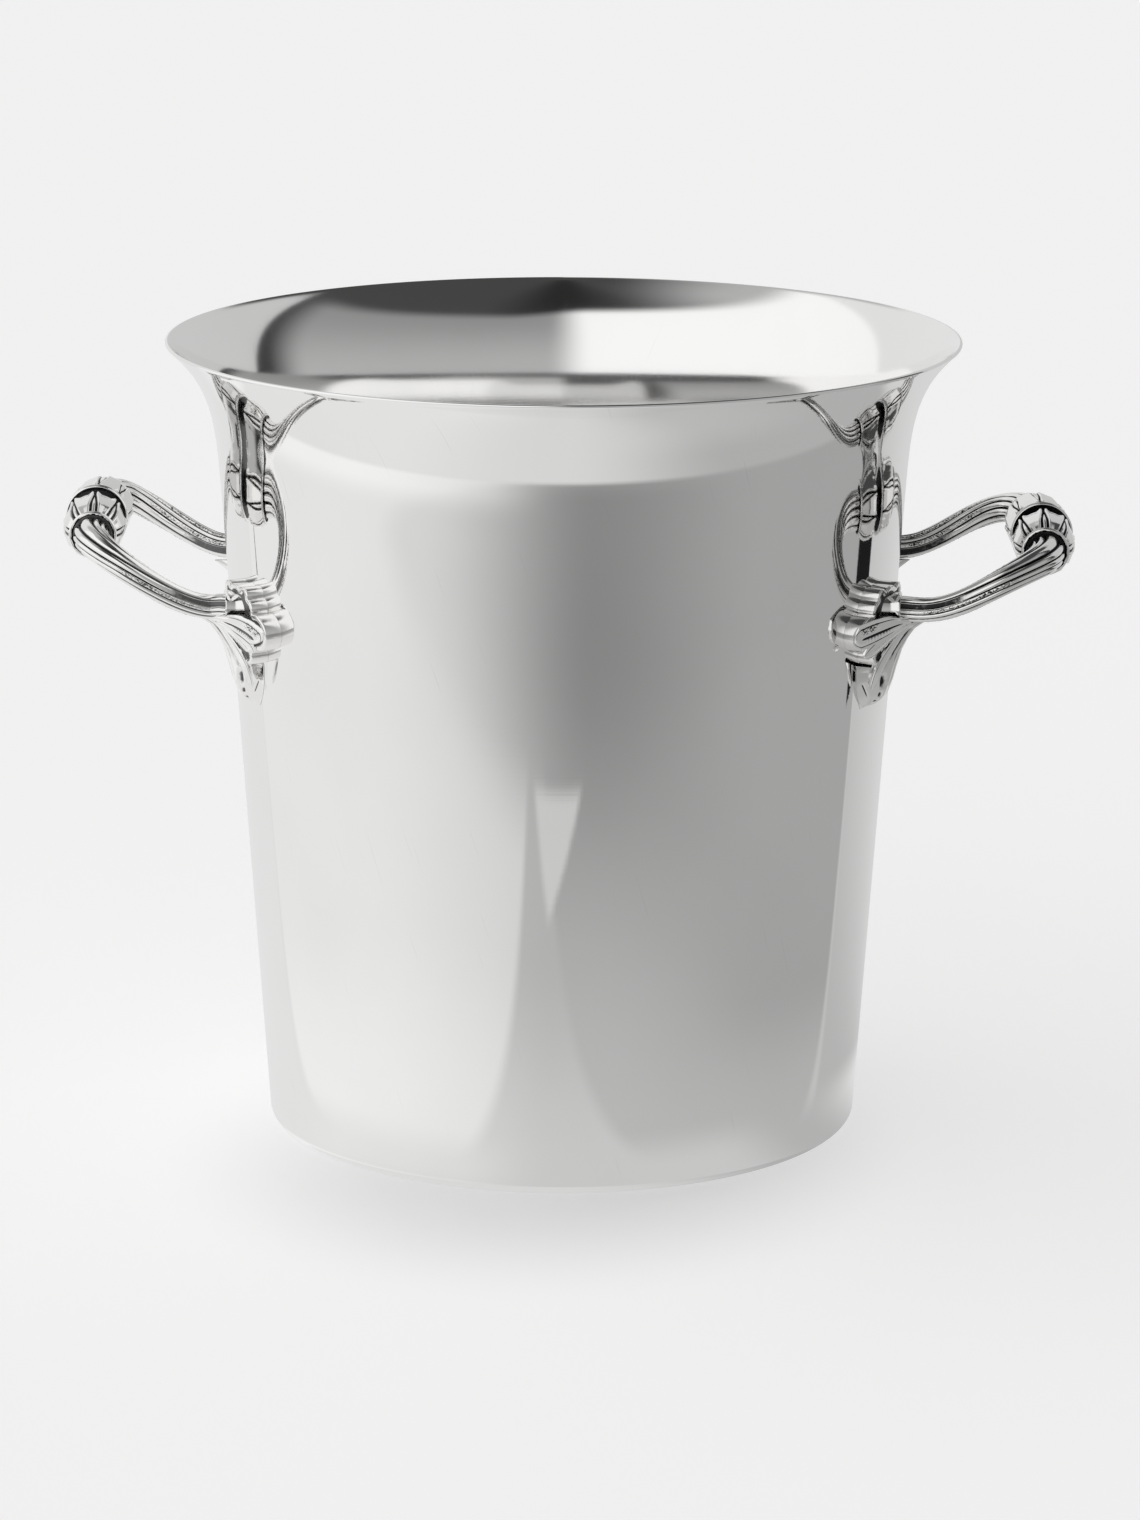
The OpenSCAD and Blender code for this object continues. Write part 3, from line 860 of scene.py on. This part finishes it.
def table_tones(graph, x, y):
    """Tones that the table shows at low angles, by place in millimetres, and the place's direction."""
    far = graph.distance(x, y)
    turn = graph.heading(x, y)
    # Sectors of the table: a is far left, b near left, c far right and d near right
    behind_a = graph.times(half_plane(graph, x, y, (-67, -61), (0.694, 0.72), 10),
                           half_plane(graph, x, y, (-45, 0), (-1, 0), 20))
    within_b = half_plane(graph, x, y, (-47, -172), (-1, 0.12), 12)
    within_d = half_plane(graph, x, y, (12, -172), (1, -0.246), 12)
    behind_c = graph.times(half_plane(graph, x, y, (55, -61), (-0.56, 0.828), 10),
                           half_plane(graph, x, y, (40, 0), (1, 0), 20))
    right = graph.mix(graph.ramp(turn, 8, 70), graph.ramp(far, 110, 480, 0.50, 0.255),
                      graph.ramp(far, 110, 200, 0.46, 0.375))
    # The strip between b and d, then the two sectors themselves
    near = graph.ramp(far, 90, 250, 0.60, 0.46)
    near = graph.mix(within_d, near, right)
    near_left = graph.plus(graph.ramp(turn, -70, -5, 0.815, 0.64), graph.ramp(far, 130, 260, 0.06, 0.0))
    near = graph.mix(within_b, near, near_left)
    beyond = graph.mix(graph.ramp(turn, -50, 10), graph.ramp(far, 330, 560, 0.80, 0.70), right)
    tone = graph.mix(half_plane(graph, x, y, (0, -345), (0, -1), 110), near, beyond)
    # The pale spike in the middle of the body
    patch = graph.times(half_plane(graph, x, y, (-22, -267), (1, -0.35), 12),
                        half_plane(graph, x, y, (-15, -267), (-1, -0.55), 12))
    patch = graph.times(patch, half_plane(graph, x, y, (0, -360), (0, 1), 24))
    tone = graph.mix(patch, tone, 0.60)
    crease = graph.times(behind_a, graph.minus(1.0, behind_a))
    tone = graph.minus(graph.mix(behind_a, tone, 0.785), graph.times(crease, 0.16))
    edge = graph.times(behind_c, graph.minus(1.0, behind_c))
    tone = graph.mix(behind_c, tone, graph.ramp(turn, 92, 158, 0.48, 0.67))
    tone = graph.plus(tone, graph.times(edge, 0.35))
    foot = graph.plus(graph.ramp(turn, -60, 0, 0.785, 0.60), graph.ramp(turn, 35, 62, 0.0, -0.13))
    foot = graph.plus(foot, graph.ramp(turn, 66, 110, 0.0, 0.27))
    return graph.mix(graph.ramp(far, 92, 118), foot, tone), turn


def table_reflection():
    """What the glossy table shows: the sectors at low angles, and a plain even table from above."""
    material = bpy.data.materials.new("table_reflection")
    material.use_nodes = True
    graph = Graph(material.node_tree)
    x, y = graph.split(graph.node("ShaderNodeTexCoord").outputs["Object"])[:2]
    low, turn = table_tones(graph, graph.times(x, 1 / MM), graph.times(y, 1 / MM))
    steep = graph.node("ShaderNodeLayerWeight")
    steep.inputs["Blend"].default_value = 0.5
    facing = steep.outputs["Facing"]
    high = graph.mix(graph.ramp(turn, 0, 55), graph.ramp(turn, -60, 0, 0.79, 0.69),
                     graph.ramp(facing, 0.0, 0.3, 0.52, 0.44))
    glint = graph.times(graph.ramp(facing, 0.42, 0.45), graph.ramp(facing, 0.66, 0.52))
    glint = graph.times(glint, graph.ramp(turn, -2, -24, 0.0, 0.11))
    low = graph.plus(low, glint)
    share = graph.ramp(facing, 0.42, 0.47)
    emission = graph.node("ShaderNodeEmission")
    graph.link(emission.inputs["Color"], graph.grey(graph.mix(share, high, low)))
    output = graph.node("ShaderNodeOutputMaterial")
    graph.link(output.inputs["Surface"], emission.outputs[0])
    return material


def plain_emission(name, tone):
    material = bpy.data.materials.new(name)
    material.use_nodes = True
    graph = Graph(material.node_tree)
    emission = graph.node("ShaderNodeEmission")
    emission.inputs["Color"].default_value = (tone, tone, tone, 1)
    output = graph.node("ShaderNodeOutputMaterial")
    graph.link(output.inputs["Surface"], emission.outputs[0])
    return material


def floor_glow_and_painted_shadow(graph):
    """Evenly lit paper with a painted shadow that darkens it softly under and in front of the bucket's
    foot.
    """
    x, y = graph.split(graph.node("ShaderNodeTexCoord").outputs["Object"])[:2]
    across = graph.times(graph.plus(x, 0.008), 1.2)
    along = graph.plus(y, 0.042)
    return graph.ramp(graph.distance(across, along), 0.04, 0.125, 0.355, 0.548)


def level_board(name, reach, z):
    """A level square board that reaches equally far each way from the origin, in metres."""
    corners = [(-reach, -reach, z), (reach, -reach, z), (reach, reach, z), (-reach, reach, z)]
    return flat_board(name, corners)


def make_stage():
    """Plain pale floor with a painted contact shadow, the reflection card just over it, and the dark gaps
    at the panels' rear edges.
    """
    floor = level_board("floor", 12.0, -0.0002)
    material, graph, shader = new_material("floor_paper")
    shader.inputs["Metallic"].default_value = 0.0
    shader.inputs["Base Color"].default_value = (0.62, 0.62, 0.62, 1)
    # The floor's glow carries a painted shadow near the bucket's foot
    graph.link(shader.inputs["Emission Color"], graph.grey(floor_glow_and_painted_shadow(graph)))
    shader.inputs["Emission Strength"].default_value = 1.0
    shader.inputs["Roughness"].default_value = 1.0
    shader.inputs["Specular IOR Level"].default_value = 0.0
    floor.data.materials.append(material)
    floor.visible_glossy = False

    table = level_board("table_reflection", 1.6, -0.0001)
    table.data.materials.append(table_reflection())
    only_reflected(table)

    # Each gap board by its name, two lower corners and brightness
    gaps = (("right_gap", (0.428, 0.151), (0.506, 0.303), 0.012),
            ("left_gap", (-0.4185, 0.2277), (-0.4290, 0.2411), 0.2))
    for name, start, end, tone in gaps:
        low_start, low_end = Vector((*start, 0)), Vector((*end, 0))
        top = Vector((0, 0, 0.1))
        gap = flat_board(name, [low_start, low_end, low_end + top, low_start + top])
        gap.data.materials.append(plain_emission(name, tone))
        only_reflected(gap)


def make_lights():
    """Soft overhead key light for the floor. It leaves the silver to the panels."""
    light = bpy.data.lights.new("key", "SUN")
    light.energy = 0.3
    light.angle = math.radians(120)
    key = bpy.data.objects.new("key", light)
    key.rotation_euler = (math.radians(-28), math.radians(6), 0)
    key.visible_glossy = False
    bpy.context.scene.collection.objects.link(key)


def make_camera():
    """Camera in front of the bucket and above it, looking down at it through a long lens."""
    tilt, roll = 13.67, -0.165
    camera = bpy.data.cameras.new("camera")
    camera.lens = 129.53
    camera.sensor_width = 36
    eye = bpy.data.objects.new("camera", camera)
    eye.location = (0.00098, -1.4307, 0.4449)
    eye.rotation_euler = (math.radians(90 - tilt), math.radians(roll), 0)
    bpy.context.scene.collection.objects.link(eye)
    bpy.context.scene.camera = eye
    bpy.context.scene.view_settings.view_transform = "Standard"


# ---------------------------------------------------------------- assembly
def placer(side, half):
    """Mirrors a piece drawn in the right handle's front half to its own side and half."""
    signs = np.array([-1 if side == "left" else 1, -1 if half == "rear" else 1, 1])
    return lambda points: points * signs


def make_handle(side, relief, core):
    """One handle: each half's plate, leaf, arm, collar and husk, then the disc and the spindle."""
    for half in ("front", "rear"):
        place = placer(side, half)
        prefix = side + "_" + half + "_"
        plate = make_plate(prefix + "plate", place)
        fit(plate, prefix + "mount_plate", relief)
        leaf = make_leaf(prefix + "leaf", side, place)
        fit(leaf, prefix + "acanthus_leaf", relief)
        rod = make_arm(prefix + "reeded_arm", side, place)
        fit(rod, prefix + "arm", relief)
        ring = make_collar(prefix + "ring", side, place)
        fit(ring, prefix + "collar", relief)
        petals = make_husk(prefix + "petals", side, half, place)
        fit(petals, prefix + "husk", relief)
    place = placer(side, "front")
    disc = make_disc(side + "_disc", side, place)
    fit(disc, side + "_knop_disc", relief)
    spindle = make_spindle(side + "_spindle", side, place)
    fit(spindle, side + "_knop_spindle", core)


sheet_silver = spun_silver()
relief_silver = cast_silver()
# The left handle's copy is painted lighter, with paler darks, as painted light from the bright panel on
# its side
lighter_lit_silver = cast_silver("lighter_lit_silver", polished=0.93, shade_and_tarnish_tone=0.16)
# A darkened copy of cast silver for the spindle: painted shade in the knop's middle
core_metal = cast_silver("core_metal", polished=0.4, shade_and_tarnish_tone=0.03)

make_body(sheet_silver)
make_base(sheet_silver)
make_handle("right", relief_silver, core_metal)
make_handle("left", lighter_lit_silver, core_metal)

make_world()
make_stage()
make_lights()
make_camera()
